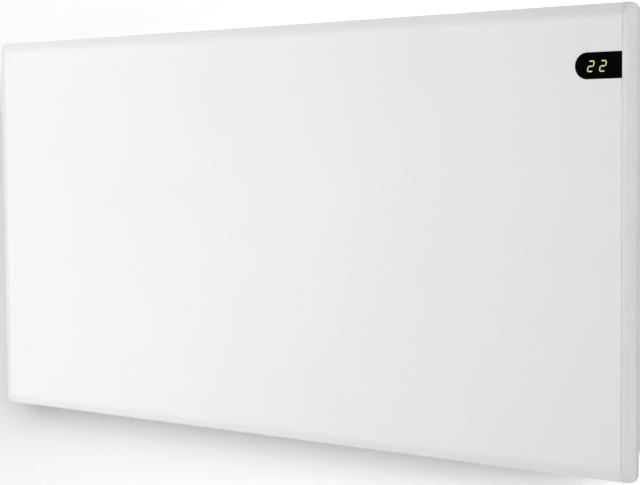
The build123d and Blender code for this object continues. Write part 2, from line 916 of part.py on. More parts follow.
with BuildPart() as cord_inlet_gland:
    with BuildSketch(level_plane(-casing_half_height)):
        with Locations((inlet_x, inlet_y)):
            Circle(inlet_flange_radius)
    with BuildSketch(level_plane(-casing_half_height - inlet_nose_length)):
        with Locations((inlet_x, inlet_y)):
            Circle(inlet_nose_radius)
    loft()
    with BuildSketch(level_plane(-casing_half_height)):
        with Locations((inlet_x, inlet_y)):
            Circle(inlet_body_radius)
    extrude(amount=housing_wall)
    with BuildSketch(level_plane(-casing_half_height + housing_wall)):
        with Locations((inlet_x, inlet_y)):
            RegularPolygon(inlet_flange_radius, 6)
    extrude(amount=inlet_nut_height)
    with BuildSketch(level_plane(-casing_half_height - inlet_nose_length)):
        with Locations((inlet_x, inlet_y)):
            Circle(inlet_bore_radius)
    extrude(amount=inlet_nose_length + housing_wall + inlet_nut_height, mode=Mode.SUBTRACT)
keep(cord_inlet_gland, "cord_inlet_gland")

sensor_bottom_z = -casing_half_height - sensor_reach
with BuildPart() as room_sensor:
    with BuildSketch(level_plane(sensor_bottom_z)):
        with Locations((sensor_x, sensor_y)):
            Circle(sensor_radius)
    extrude(amount=sensor_length)
    fillet(room_sensor.edges().group_by(Axis.Z)[0], sensor_edge_radius)
keep(room_sensor, "room_sensor")

with BuildPart() as lead_grommet:
    with BuildSketch(side_plane(casing_right_x - casing_sheet - grommet_flange_thickness)):
        with Locations((grommet_y, grommet_z)):
            Circle(grommet_flange)
    extrude(amount=grommet_flange_thickness)
    with BuildSketch(side_plane(casing_right_x - casing_sheet)):
        with Locations((grommet_y, grommet_z)):
            Circle(grommet_radius - inlet_fit)
    extrude(amount=casing_sheet + housing_gap + housing_wall)
    with BuildSketch(side_plane(housing_left_x + housing_wall)):
        with Locations((grommet_y, grommet_z)):
            Circle(grommet_flange)
    extrude(amount=grommet_flange_thickness)
    with BuildSketch(side_plane(casing_right_x - casing_sheet - grommet_flange_thickness)):
        with Locations((grommet_y, grommet_z)):
            Circle(grommet_bore)
    extrude(amount=far, mode=Mode.SUBTRACT)
keep(lead_grommet, "lead_grommet")

# ======== rear casing ========
grille_opening_length = grille_length - 2 * grille_border
grille_opening_width = grille_width - 2 * grille_border
latch_window_top_z = latch_pivot_z - latch_beam_drop + latch_nose_height + latch_window_clearance
bracket_sides = {"left": -wall_hole_spacing_x / 2, "right": wall_hole_spacing_x / 2}
element_screw_points = [
    (centre_x + reach, element_z + rise)
    for centre_x, reach in (
        (casing_centre_x - fin_length / 2 - bush_body_length, element_bracket_foot / 2),
        (casing_centre_x + fin_length / 2 + bush_body_length, -element_bracket_foot / 2),
    )
    for rise in (-element_bracket_height / 4, element_bracket_height / 4)
]

with BuildPart() as rear_casing:
    add(
        rounded_box(
            casing_left_x,
            casing_right_x,
            casing_half_height,
            slab_back_y,
            casing_back_y,
            casing_bend_radius,
        )
    )
    with BuildSketch(wall_plane(slab_back_y + casing_sheet)):
        with Locations(((casing_left_x - flange_width + casing_right_x) / 2, 0)):
            Rectangle(casing_width + flange_width, 2 * (casing_half_height + flange_width))
    extrude(amount=casing_sheet)
    add(
        rounded_box(
            casing_left_x + casing_sheet,
            casing_right_x - casing_sheet,
            casing_half_height - casing_sheet,
            slab_back_y,
            casing_floor_y,
            casing_bend_radius - casing_sheet,
        ),
        mode=Mode.SUBTRACT,
    )
    with BuildSketch(level_plane(-casing_half_height)):
        with Locations((casing_centre_x, casing_middle_y)):
            Rectangle(grille_opening_length, grille_opening_width)
    extrude(amount=2 * casing_half_height, mode=Mode.SUBTRACT)
    with BuildSketch(wall_plane(casing_back_y)):
        with Locations((casing_centre_x, louvre_z)):
            with GridLocations(louvre_pitch, louvre_row_pitch, louvre_columns, 2):
                SlotOverall(louvre_length, louvre_height)
        for bracket_x in bracket_sides.values():
            with Locations((bracket_x, hook_lip_z - hook_window_height / 2)):
                Rectangle(hook_window_width, hook_window_height)
            with Locations((bracket_x, latch_window_top_z - latch_window_height / 2)):
                Rectangle(latch_window_width, latch_window_height)
        with Locations(*element_screw_points):
            Circle(screw_hole_radius)
    extrude(amount=casing_sheet, mode=Mode.SUBTRACT)
    with BuildSketch(side_plane(casing_right_x - casing_sheet)):
        with Locations((grommet_y, grommet_z)):
            Circle(grommet_radius)
    extrude(amount=casing_sheet, mode=Mode.SUBTRACT)
    with BuildSketch(wall_plane(slab_back_y + casing_sheet)):
        with Locations(*panel_screw_points):
            Circle(screw_hole_radius)
    extrude(amount=casing_sheet, mode=Mode.SUBTRACT)
    with BuildSketch(side_plane(casing_left_x)):
        with Locations((shield_y + shield_turn / 2, 0)):
            with GridLocations(0, side_screw_pitch, 1, 3):
                Circle(screw_hole_radius)
    extrude(amount=casing_sheet, mode=Mode.SUBTRACT)
keep(rear_casing, "rear_casing")

slot_count = int(grille_opening_length // grille_slot_pitch)
grille_levels = {
    "outlet_grille": casing_half_height,
    "inlet_grille": -casing_half_height - grille_thickness,
}
for grille_name, grille_z in grille_levels.items():
    with BuildPart() as grille:
        with BuildSketch(level_plane(grille_z)):
            with Locations((casing_centre_x, casing_middle_y)):
                RectangleRounded(grille_length, grille_width, grille_corner_radius)
                with GridLocations(grille_slot_pitch, 0, slot_count, 1):
                    SlotOverall(
                        grille_opening_width, grille_slot_width, rotation=90, mode=Mode.SUBTRACT
                    )
        extrude(amount=grille_thickness)
    keep(grille, grille_name)

shield_left_x = casing_left_x + casing_sheet
shield_right_x = casing_right_x - casing_sheet
shield_top_z = casing_half_height - shield_top_margin
shield_bottom_z = shield_bottom_margin - casing_half_height
with BuildPart() as heat_shield:
    with BuildSketch(wall_plane(shield_y)):
        with Locations(((shield_left_x + shield_right_x) / 2, (shield_top_z + shield_bottom_z) / 2)):
            Rectangle(shield_right_x - shield_left_x, shield_top_z - shield_bottom_z)
    extrude(amount=shield_sheet)
    with BuildSketch(wall_plane(shield_y + shield_turn)):
        for turn_x in (shield_left_x + shield_sheet / 2, shield_right_x - shield_sheet / 2):
            with Locations((turn_x, (shield_top_z + shield_bottom_z) / 2)):
                Rectangle(shield_sheet, shield_top_z - shield_bottom_z)
    extrude(amount=shield_turn)
    with BuildSketch(side_plane(shield_left_x)):
        with Locations((shield_y + shield_turn / 2, 0)):
            with GridLocations(0, side_screw_pitch, 1, 3):
                Circle(screw_hole_radius)
    extrude(amount=shield_sheet, mode=Mode.SUBTRACT)
keep(heat_shield, "heat_shield")

# ======== heating element ========
fin_left_x = casing_centre_x - fin_length / 2
fin_right_x = casing_centre_x + fin_length / 2
rod_left_x = fin_left_x - rod_overhang
rod_length = fin_length + 2 * rod_overhang
fin_pitch = (fin_length + fin_gap_width) / fin_groups
fin_planes = [side_plane(fin_left_x + group * fin_pitch) for group in range(fin_groups)]

with BuildPart() as element_fins:
    with BuildSketch(side_plane(fin_left_x)):
        with Locations((element_y, element_z)):
            Circle(fin_core_radius)
            Circle(rod_radius + bush_fit, mode=Mode.SUBTRACT)
    extrude(amount=fin_length)
    with BuildSketch(*fin_planes):
        with Locations((element_y, element_z)):
            for angle in (45, 135):
                Rectangle(2 * fin_reach, fin_thickness, rotation=angle)
            for rib_radius in rib_radii:
                with PolarLocations(rib_radius, 4, start_angle=45):
                    Rectangle(rib_thickness, rib_span)
            Circle((rod_radius + fin_core_radius) / 2, mode=Mode.SUBTRACT)
    extrude(amount=fin_pitch - fin_gap_width)
keep(element_fins, "element_fins")

with BuildPart() as element_rod:
    with BuildSketch(side_plane(rod_left_x)):
        with Locations((element_y, element_z)):
            Circle(rod_radius)
    extrude(amount=rod_length)
keep(element_rod, "element_rod")

with BuildPart() as element_terminals:
    for pin_x in (rod_left_x - terminal_pin_length, rod_left_x + rod_length):
        with BuildSketch(side_plane(pin_x)):
            with Locations((element_y, element_z)):
                Circle(terminal_pin_radius)
        extrude(amount=terminal_pin_length)
keep(element_terminals, "element_terminals")

element_ends = {"left": (fin_left_x, -1), "right": (fin_right_x, 1)}
for end_name, (fin_end_x, outward) in element_ends.items():
    plate_x = fin_end_x + outward * bush_body_length
    with BuildPart() as element_bush:
        with BuildSketch(side_plane(plate_x + outward * element_bracket_sheet)):
            with Locations((element_y, element_z)):
                Circle(bush_flange_radius)
        extrude(amount=outward * bush_flange_length)
        with BuildSketch(side_plane(plate_x + outward * element_bracket_sheet)):
            with Locations((element_y, element_z)):
                Circle(bush_radius)
        extrude(amount=-outward * bush_body_length)
        with BuildSketch(side_plane(fin_end_x)):
            with Locations((element_y, element_z)):
                Circle(rod_radius + bush_fit)
        extrude(amount=outward * far, mode=Mode.SUBTRACT)
    keep(element_bush, f"{end_name}_element_bush")

    with BuildPart() as element_bracket:
        plate_front_y = element_y - element_bracket_front
        plate_depth = casing_floor_y - plate_front_y
        with BuildSketch(side_plane(plate_x)):
            with Locations((plate_front_y + plate_depth / 2, element_z)):
                RectangleRounded(plate_depth, element_bracket_height, element_bracket_corner)
            with Locations((element_y, element_z)):
                Circle(bush_radius + bush_fit, mode=Mode.SUBTRACT)
        extrude(amount=outward * element_bracket_sheet)
        with BuildSketch(wall_plane(casing_floor_y)):
            with Locations((plate_x - outward * element_bracket_foot / 2, element_z)):
                Rectangle(element_bracket_foot, element_bracket_height)
            with Locations(*element_screw_points):
                Circle(screw_hole_radius, mode=Mode.SUBTRACT)
        extrude(amount=element_bracket_sheet)
    keep(element_bracket, f"{end_name}_element_bracket")

with BuildPart() as thermal_cutout:
    with BuildSketch(wall_plane(casing_floor_y)):
        with Locations((cutout_x, cutout_z)):
            RectangleRounded(cutout_ear_length, cutout_ear_width, cutout_ear_width / 3)
    extrude(amount=cutout_ear_thickness)
    with BuildSketch(wall_plane(casing_floor_y - cutout_ear_thickness)):
        with Locations((cutout_x, cutout_z)):
            Circle(cutout_radius)
    extrude(amount=cutout_height)
keep(thermal_cutout, "thermal_cutout")

# ======== screws ========


def wall_screws(points, seat_y, grip):
    """Screws driven forward from their seat: a domed head behind it, a shank through the grip."""
    with BuildPart() as screws:
        with BuildSketch(wall_plane(seat_y + screw_head_height)):
            with Locations(*points):
                Circle(screw_head_radius)
        extrude(amount=screw_head_height)
        fillet(screws.edges().group_by(Axis.Y)[-1], screw_head_edge)
        with BuildSketch(wall_plane(seat_y)):
            with Locations(*points):
                Circle(screw_radius)
        extrude(amount=grip + screw_point)
    return screws.part


with BuildPart() as casing_screws:
    add(wall_screws(panel_screw_points, slab_back_y + casing_sheet, casing_sheet + panel_sheet))
    add(wall_screws(housing_screw_points, slab_back_y + housing_wall, housing_wall + panel_sheet))
    add(wall_screws(cap_screw_points, slab_back_y + housing_wall, housing_wall + cap_wall))
keep(casing_screws, "casing_screws")

with BuildPart() as element_bracket_screws:
    add(wall_screws(element_screw_points, casing_back_y, casing_sheet + element_bracket_sheet))
keep(element_bracket_screws, "element_bracket_screws")

with BuildPart() as shield_screws:
    with BuildSketch(side_plane(casing_left_x - screw_head_height)):
        with Locations((shield_y + shield_turn / 2, 0)):
            with GridLocations(0, side_screw_pitch, 1, 3):
                Circle(screw_head_radius)
    extrude(amount=screw_head_height)
    fillet(shield_screws.edges().group_by(Axis.X)[0], screw_head_edge)
    with BuildSketch(side_plane(casing_left_x)):
        with Locations((shield_y + shield_turn / 2, 0)):
            with GridLocations(0, side_screw_pitch, 1, 3):
                Circle(screw_radius)
    extrude(amount=casing_sheet + shield_sheet + screw_point)
keep(shield_screws, "shield_screws")

# ======== leads ========


def lead(points, radius, bend):
    """Round insulated lead along straight runs joined by tangent arcs."""
    with BuildPart() as tube:
        with BuildLine() as route:
            FilletPolyline(*points, radius=bend)
        with BuildSketch(Plane(origin=route.line @ 0, z_dir=route.line % 0)):
            Circle(radius)
        sweep(path=route.line)
    return tube.part


def connector_pin(place):
    """Where a lead leaves the power board's connector, place counted from its middle."""
    return connector_x + place * connector_pitch


lead_front_y = power_board_face_y - lead_front_offset
lead_back_y = power_board_face_y - lead_back_offset
lead_drop_z = grommet_z + lead_rise_in_grommet
lead_inside_x = casing_right_x - grommet_flange_thickness - lead_inside_reach
terminal_top_z = terminal_z + terminal_size[2] / 2
right_pin_x = rod_left_x + rod_length + terminal_pin_length
left_pin_x = rod_left_x - terminal_pin_length

with BuildPart() as right_element_lead:
    add(
        lead(
            [
                (connector_pin(-2), lead_front_y, connector_bottom_z),
                (connector_pin(-2), lead_front_y, lead_drop_z),
                (lead_inside_x - lead_bend, lead_front_y, lead_drop_z),
                (right_pin_x + pin_run, element_y, element_z),
                (right_pin_x, element_y, element_z),
            ],
            lead_radius,
            lead_bend,
        )
    )
keep(right_element_lead, "right_element_lead")

with BuildPart() as left_element_lead:
    add(
        lead(
            [
                (connector_pin(-1), lead_back_y, connector_bottom_z),
                (connector_pin(-1), lead_back_y, lead_drop_z),
                (lead_inside_x, lead_back_y, lead_drop_z),
                (lead_inside_x, floor_lead_y, floor_lead_z),
                (left_pin_x - pin_run, floor_lead_y, floor_lead_z),
                (left_pin_x - pin_run, element_y, element_z - 2 * pin_run),
                (left_pin_x - pin_run, element_y, element_z),
                (left_pin_x, element_y, element_z),
            ],
            lead_radius,
            lead_bend,
        )
    )
keep(left_element_lead, "left_element_lead")

earth_x = terminal_x - terminal_pitch
earth_z = grommet_z - earth_drop_in_grommet
with BuildPart() as earth_lead:
    add(
        lead(
            [
                (earth_x, grommet_y, terminal_top_z),
                (earth_x, grommet_y, earth_z),
                (lead_inside_x - pin_run, grommet_y, earth_z),
                (lead_inside_x - pin_run, casing_floor_y, earth_z),
            ],
            lead_radius,
            lead_bend,
        )
    )
keep(earth_lead, "earth_lead")

with BuildPart() as supply_leads:
    for place in (1, 2):
        start_x = terminal_x + (place - 1) * terminal_pitch
        add(
            lead(
                [
                    (start_x, grommet_y, terminal_top_z),
                    (start_x, grommet_y, terminal_top_z + supply_straight),
                    (connector_pin(place), lead_front_y, connector_bottom_z - supply_straight),
                    (connector_pin(place), lead_front_y, connector_bottom_z),
                ],
                lead_radius,
                lead_bend,
            )
        )
keep(supply_leads, "supply_leads")

signal_y = power_board_face_y - pin_run
signal_top_z = control_board_z - control_board_height / 3
signal_end_z = power_board_bottom_z + signal_rise
with BuildPart() as signal_lead:
    add(
        lead(
            [
                (board_back_x, signal_y, signal_top_z),
                (housing_middle_x, signal_y, signal_top_z),
                (housing_middle_x, signal_y, signal_end_z),
                (housing_middle_x, power_board_face_y, signal_end_z),
            ],
            signal_lead_radius,
            lead_bend,
        )
    )
keep(signal_lead, "signal_lead")

board_bottom_z = control_board_z - control_board_height / 2
board_middle_x = (board_back_x + board_face_x) / 2
with BuildPart() as sensor_lead:
    add(
        lead(
            [
                (sensor_x, sensor_y, sensor_bottom_z + sensor_length),
                (sensor_x, sensor_y, board_bottom_z - 5 * pin_run),
                (board_middle_x, sensor_y + sensor_lead_shift, board_bottom_z - 2 * pin_run),
                (board_middle_x, sensor_y + sensor_lead_shift, board_bottom_z),
            ],
            lead_radius,
            lead_bend,
        )
    )
keep(sensor_lead, "sensor_lead")

with BuildPart() as display_ribbon:
    with BuildSketch(level_plane(window_z - ribbon_drop - ribbon_width / 2)):
        with BuildLine():
            FilletPolyline(
                (ribbon_x, holder_back_y + board_thickness),
                (ribbon_x, ribbon_y),
                (board_back_x, ribbon_y),
                radius=ribbon_bend,
            )
        trace(line_width=ribbon_thickness)
    extrude(amount=ribbon_width)
keep(display_ribbon, "display_ribbon")

# ======== wall bracket ========
hook_arm_top_z = hook_lip_z - hook_clearance
hook_arm_bottom_z = hook_arm_top_z - bracket_sheet
hook_tip_back_y = casing_floor_y - hook_tip_gap
upright_height = upright_top_z - hook_arm_bottom_z
channel_width = upright_width - 2 * bracket_sheet
rail_levels = {"upper": rail_z, "lower": -rail_z}
rail_front_y = -bracket_sheet - rail_sheet
notch_depth = rail_sheet + rail_lip + rail_notch_clearance
rivet_points = [
    (bracket_x + side * rivet_pitch / 2, level)
    for bracket_x in bracket_sides.values()
    for side in (-1, 1)
    for level in rail_levels.values()
]

for side_name, bracket_x in bracket_sides.items():
    inward = -1 if bracket_x > 0 else 1
    flange_x = bracket_x + inward * (upright_width - bracket_sheet) / 2
    with BuildPart() as upright:
        with BuildSketch(level_plane(hook_arm_bottom_z)):
            with Locations((bracket_x, -upright_depth / 2)):
                Rectangle(upright_width, upright_depth)
            with Locations((bracket_x, -(upright_depth + bracket_sheet) / 2)):
                Rectangle(channel_width, upright_depth - bracket_sheet, mode=Mode.SUBTRACT)
        extrude(amount=upright_height)
        with BuildSketch(side_plane(bracket_x - hook_width / 2)):
            with BuildLine():
                Polyline(
                    (-bracket_sheet / 2, hook_arm_bottom_z),
                    (hook_tip_back_y - bracket_sheet, hook_arm_bottom_z),
                    (hook_tip_back_y - bracket_sheet, hook_arm_top_z + hook_tip_height),
                    (hook_tip_back_y, hook_arm_top_z + hook_tip_height),
                    (hook_tip_back_y, hook_arm_top_z),
                    (-bracket_sheet / 2, hook_arm_top_z),
                    close=True,
                )
            make_face()
        extrude(amount=hook_width)
        with BuildSketch(wall_plane(0)):
            with Locations(
                (bracket_x, wall_hole_spacing_z / 2), (bracket_x, -wall_hole_spacing_z / 2)
            ):
                Circle(wall_hole_radius)
            with Locations(*rivet_points):
                Circle(rivet_radius + rivet_fit)
        extrude(amount=bracket_sheet, mode=Mode.SUBTRACT)
        with BuildSketch(side_plane(flange_x - bracket_sheet / 2)):
            for level in rail_levels.values():
                with Locations((-bracket_sheet - notch_depth / 2, level)):
                    Rectangle(notch_depth, rail_height + 2 * rail_notch_clearance)
        extrude(amount=bracket_sheet, mode=Mode.SUBTRACT)
        with BuildSketch(side_plane(bracket_x)):
            with Locations((latch_pivot_y, latch_pivot_z)):
                Circle(latch_pin_radius + latch_pin_fit)
        extrude(amount=upright_width / 2, both=True, mode=Mode.SUBTRACT)
    keep(upright, f"bracket_{side_name}_upright")

for rail_name, level in rail_levels.items():
    with BuildPart() as rail:
        rail_length = wall_hole_spacing_x + channel_width - 2 * bracket_sheet
        with BuildSketch(wall_plane(-bracket_sheet)):
            with Locations((0, level)):
                Rectangle(rail_length, rail_height)
            with Locations(*rivet_points):
                Circle(rivet_radius + rivet_fit, mode=Mode.SUBTRACT)
        extrude(amount=rail_sheet)
        with BuildSketch(wall_plane(rail_front_y)):
            with Locations((0, level - (rail_height - rail_sheet) / 2)):
                Rectangle(rail_length, rail_sheet)
        extrude(amount=rail_lip)
    keep(rail, f"bracket_{rail_name}_rail")

with BuildPart() as bracket_rivets:
    with BuildSketch(wall_plane(-rivet_fit)):
        with Locations(*rivet_points):
            Circle(rivet_radius)
    extrude(amount=-rail_front_y - rivet_fit)
    with BuildSketch(wall_plane(rail_front_y)):
        with Locations(*rivet_points):
            Circle(rivet_head_radius)
    extrude(amount=rivet_head_height)
    fillet(bracket_rivets.edges().group_by(Axis.Y)[0], rivet_head_edge)
keep(bracket_rivets, "bracket_rivets")

# ---- latches at the top of the bracket ----
beam_top_z = latch_pivot_z - latch_beam_drop
beam_bottom_z = beam_top_z - latch_beam_height
for side_name, bracket_x in bracket_sides.items():
    with BuildPart() as latch_lever:
        with BuildSketch(side_plane(bracket_x - latch_width / 2)):
            with Locations((latch_pivot_y, latch_pivot_z)):
                Circle(latch_hub_radius)
            with BuildLine():
                Polyline(
                    (latch_pivot_y, beam_bottom_z),
                    (latch_nose_y, beam_bottom_z),
                    (latch_nose_y, beam_top_z - latch_nose_height),
                    (latch_nose_y + latch_nose_height, beam_top_z + latch_nose_height),
                    (latch_nose_y + latch_nose_length, beam_top_z + latch_nose_height),
                    (latch_nose_y + latch_nose_length, beam_top_z),
                    (latch_pivot_y, beam_top_z),
                    close=True,
                )
            make_face()
            post_z = (beam_top_z + latch_pad_z) / 2
            with Locations(((latch_pivot_y + latch_pad_front_y) / 2, post_z)):
                Rectangle(latch_post_width, latch_pad_z - beam_top_z)
            pad_z = latch_pad_z + latch_pad_thickness / 2
            with Locations(((latch_pad_front_y + latch_pad_back_y) / 2, pad_z)):
                RectangleRounded(
                    latch_pad_back_y - latch_pad_front_y, latch_pad_thickness, latch_pad_corner
                )
            with Locations((latch_pivot_y, latch_pivot_z)):
                Circle(latch_pin_radius + latch_pin_fit, mode=Mode.SUBTRACT)
        extrude(amount=latch_width)
    keep(latch_lever, f"{side_name}_latch_lever")

    with BuildPart() as latch_pin:
        pin_reach = upright_width / 2 + latch_pin_head_length
        with BuildSketch(side_plane(bracket_x)):
            with Locations((latch_pivot_y, latch_pivot_z)):
                Circle(latch_pin_radius)
        extrude(amount=pin_reach, both=True)
        for outer_x in (bracket_x - pin_reach, bracket_x + upright_width / 2):
            with BuildSketch(side_plane(outer_x)):
                with Locations((latch_pivot_y, latch_pivot_z)):
                    Circle(latch_pin_head)
            extrude(amount=latch_pin_head_length)
    keep(latch_pin, f"{side_name}_latch_pin")

    with BuildPart() as latch_spring:
        with BuildSketch(side_plane(bracket_x - leaf_width / 2)):
            with BuildLine():
                Polyline(
                    (-bracket_sheet - leaf_thickness / 2, leaf_foot_z),
                    (-bracket_sheet - leaf_thickness / 2, leaf_foot_z + leaf_foot_height),
                    (leaf_tip_y, beam_bottom_z - leaf_clearance - leaf_thickness),
                )
            trace(line_width=leaf_thickness)
        extrude(amount=leaf_width)
    keep(latch_spring, f"{side_name}_latch_spring")
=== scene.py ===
import bpy
from mathutils import Matrix, Vector


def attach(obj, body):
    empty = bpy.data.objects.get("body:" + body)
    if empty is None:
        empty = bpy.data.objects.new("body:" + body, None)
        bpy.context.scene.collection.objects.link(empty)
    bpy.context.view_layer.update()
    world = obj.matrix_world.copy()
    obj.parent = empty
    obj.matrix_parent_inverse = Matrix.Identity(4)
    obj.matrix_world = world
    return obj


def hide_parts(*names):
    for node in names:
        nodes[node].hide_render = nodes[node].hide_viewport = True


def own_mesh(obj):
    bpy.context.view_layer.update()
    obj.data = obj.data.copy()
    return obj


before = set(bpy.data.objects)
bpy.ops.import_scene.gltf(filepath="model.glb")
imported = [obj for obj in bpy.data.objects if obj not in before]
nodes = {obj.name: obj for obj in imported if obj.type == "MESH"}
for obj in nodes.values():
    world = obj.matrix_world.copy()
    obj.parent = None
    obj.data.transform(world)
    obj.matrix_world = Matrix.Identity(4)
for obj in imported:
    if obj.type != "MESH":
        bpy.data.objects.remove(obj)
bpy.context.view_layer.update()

# Sockets of the Mix node in its colour mode, which share their names with other sockets.
MIX_COLOUR_A = 6
MIX_COLOUR_B = 7
MIX_COLOUR_OUT = 2

# Cosine loss between the true and the rounded normal that counts as no edge and as a full edge.
NO_EDGE = 0.02
FULL_EDGE = 0.2


# ---- shader building blocks ----
class Shader:
    """A Principled material with the few node chains that the finishes below share."""

    def __init__(self, name):
        self.mat = bpy.data.materials.new(name)
        self.mat.use_nodes = True
        self.tree = self.mat.node_tree
        self.bsdf = next(n for n in self.tree.nodes if n.type == "BSDF_PRINCIPLED")
        self.coord = self.tree.nodes.new("ShaderNodeTexCoord")

    def new(self, kind, **settings):
        node = self.tree.nodes.new(kind)
        for key, value in settings.items():
            setattr(node, key, value)
        return node

    def link(self, source, target):
        self.tree.links.new(source, target)

    def put(self, socket, value):
        """Set a socket to a number or colour, or link it."""
        if isinstance(value, bpy.types.NodeSocket):
            self.link(value, socket)
        else:
            socket.default_value = value

    def place(self, stretch=(1, 1, 1)):
        mapping = self.new("ShaderNodeMapping")
        mapping.inputs["Scale"].default_value = stretch
        self.link(self.coord.outputs["Object"], mapping.inputs["Vector"])
        return mapping.outputs["Vector"]

    def noise(self, scale, detail=3.0, rough=0.5, stretch=(1, 1, 1)):
        node = self.new("ShaderNodeTexNoise")
        self.link(self.place(stretch), node.inputs["Vector"])
        node.inputs["Scale"].default_value = scale
        node.inputs["Detail"].default_value = detail
        node.inputs["Roughness"].default_value = rough
        return node.outputs["Fac"]

    def cells(self, scale, output="Distance"):
        node = self.new("ShaderNodeTexVoronoi")
        self.link(self.place(), node.inputs["Vector"])
        node.inputs["Scale"].default_value = scale
        return node.outputs[output]

    def waves(self, scale, direction):
        node = self.new("ShaderNodeTexWave", bands_direction=direction)
        self.link(self.coord.outputs["Object"], node.inputs["Vector"])
        node.inputs["Scale"].default_value = scale
        return node.outputs["Fac"]

    def span(self, value, low=0.3, high=0.7, to=(0.0, 1.0)):
        """Stretch the values between low and high over the range in to."""
        node = self.new("ShaderNodeMapRange")
        self.put(node.inputs["Value"], value)
        node.inputs["From Min"].default_value = low
        node.inputs["From Max"].default_value = high
        node.inputs["To Min"].default_value = to[0]
        node.inputs["To Max"].default_value = to[1]
        return node.outputs["Result"]

    def math(self, operation, a, b):
        node = self.new("ShaderNodeMath", operation=operation)
        self.put(node.inputs[0], a)
        self.put(node.inputs[1], b)
        return node.outputs[0]

    def mix(self, share, a, b):
        node = self.new("ShaderNodeMix", data_type="RGBA")
        self.put(node.inputs["Factor"], share)
        self.put(node.inputs[MIX_COLOUR_A], a)
        self.put(node.inputs[MIX_COLOUR_B], b)
        return node.outputs[MIX_COLOUR_OUT]

    def mottle(self, value, colour, dark, light, low=0.3, high=0.7):
        """The colour, varied between two factors of itself by a texture."""
        return self.mix(self.span(value, low, high), shade(colour, dark), shade(colour, light))

    def cover(self, tone, mask, amount, colour):
        """Lay a colour over the tone where the mask is high."""
        return self.mix(self.math("MULTIPLY", mask, amount), tone, colour)

    def edges(self, radius):
        """About 1 along outside and inside edges, 0 on the flats."""
        bevel = self.new("ShaderNodeBevel", samples=4)
        bevel.inputs["Radius"].default_value = radius
        geometry = self.new("ShaderNodeNewGeometry")
        dot = self.new("ShaderNodeVectorMath", operation="DOT_PRODUCT")
        self.link(bevel.outputs["Normal"], dot.inputs[0])
        self.link(geometry.outputs["Normal"], dot.inputs[1])
        loss = self.math("SUBTRACT", 1.0, dot.outputs["Value"])
        return self.span(loss, NO_EDGE, FULL_EDGE)

    def bump(self, height, strength, distance=0.0003, normal=None):
        node = self.new("ShaderNodeBump")
        self.link(height, node.inputs["Height"])
        node.inputs["Strength"].default_value = strength
        node.inputs["Distance"].default_value = distance
        if normal is not None:
            self.link(normal, node.inputs["Normal"])
        return node.outputs["Normal"]

    def finish(self, colour, rough, normal, **sockets):
        self.put(self.bsdf.inputs["Base Color"], colour)
        self.put(self.bsdf.inputs["Roughness"], rough)
        self.link(normal, self.bsdf.inputs["Normal"])
        for name, value in sockets.items():
            self.bsdf.inputs[name.replace("_", " ")].default_value = value
        return self.mat


def rgb(r, g, b):
    return (r, g, b, 1.0)


def shade(colour, factor):
    return rgb(*(min(1.0, c * factor) for c in colour[:3]))


# ---- finishes ----
# Scales are in waves per metre; bump distances and edge radii are in metres.
def enamel(name, colour, rough=0.42, peel=0.20):
    """Powder-coated sheet steel: fine orange peel, faint clouds and painted shade along the edges.
    """
    s = Shader(name)
    cloud = s.noise(4.0, detail=2.0)
    speck = s.noise(900.0, detail=2.0)
    edge = s.edges(radius=0.0012)
    tone = s.mottle(cloud, colour, dark=0.985, light=1.01, low=0.35, high=0.65)
    tone = s.mix(s.span(speck, 0.62, 0.72, to=(0.0, 0.25)), tone, shade(colour, 0.95))
    # Painted shade: slightly darker along outer and inner edges.
    tone = s.cover(tone, edge, 0.25, shade(colour, 0.93))
    roughness = s.span(s.noise(60.0, detail=4.0), to=(rough - 0.04, rough + 0.05))
    normal = s.bump(s.noise(1400.0), peel, distance=0.0004)
    normal = s.bump(s.noise(320.0, detail=1.0), peel * 0.5, distance=0.0008, normal=normal)
    return s.finish(tone, roughness, normal, Specular_IOR_Level=0.4)


def moulded(name, colour, rough=0.5, grain=0.25, edge_highlight=0.08):
    """Spark-textured plastic, glossier where hands and edges rub, with a painted highlight along
    its edges.
    """
    s = Shader(name)
    edge = s.edges(radius=0.0008)
    tone = s.mottle(s.noise(18.0), colour, dark=0.96, light=1.03)
    # Painted highlight: lighter along outer and inner edges, by the share in wear.
    tone = s.cover(tone, edge, 0.4, shade(colour, 1.0 + edge_highlight))
    roughness = s.span(s.noise(240.0, detail=4.0), to=(rough - 0.06, rough + 0.06))
    roughness = s.math("SUBTRACT", roughness, s.math("MULTIPLY", edge, 0.1))
    normal = s.bump(s.noise(2600.0, detail=4.0), grain)
    return s.finish(tone, roughness, normal, Specular_IOR_Level=0.4)


def gloss(name, colour, rough=0.12, specular=0.5):
    """Polished plastic: faint flow clouding, dust-fine bump and soft rubs in the shine."""
    s = Shader(name)
    tone = s.mottle(s.noise(30.0), colour, dark=0.94, light=1.06)
    rubs = s.noise(60.0, stretch=(1, 1, 3))
    roughness = s.span(rubs, 0.35, 0.75, to=(rough, rough + 0.05))
    normal = s.bump(s.noise(1500.0, detail=2.0), 0.02)
    return s.finish(tone, roughness, normal, Specular_IOR_Level=specular)


def zinc(name, colour, rough=0.34, spangle=55.0, streak=(1, 1, 1)):
    """Plated or galvanised steel: spangle, rubbed streaks and a painted highlight along the edges.
    """
    s = Shader(name)
    level = s.new("ShaderNodeRGBToBW")
    s.link(s.cells(spangle, output="Color"), level.inputs["Color"])
    streaks = s.noise(140.0, detail=6.0, rough=0.65, stretch=streak)
    edge = s.edges(radius=0.0009)
    tone = s.mix(level.outputs["Val"], shade(colour, 0.84), shade(colour, 1.08))
    tone = s.mix(s.span(streaks, 0.35, 0.7, to=(0.0, 0.5)), tone, shade(colour, 0.9))
    # Painted highlight: lighter along outer and inner edges.
    tone = s.cover(tone, edge, 0.6, shade(colour, 1.25))
    roughness = s.span(streaks, to=(rough - 0.07, rough + 0.1))
    return s.finish(tone, roughness, s.bump(streaks, 0.08), Metallic=1.0)


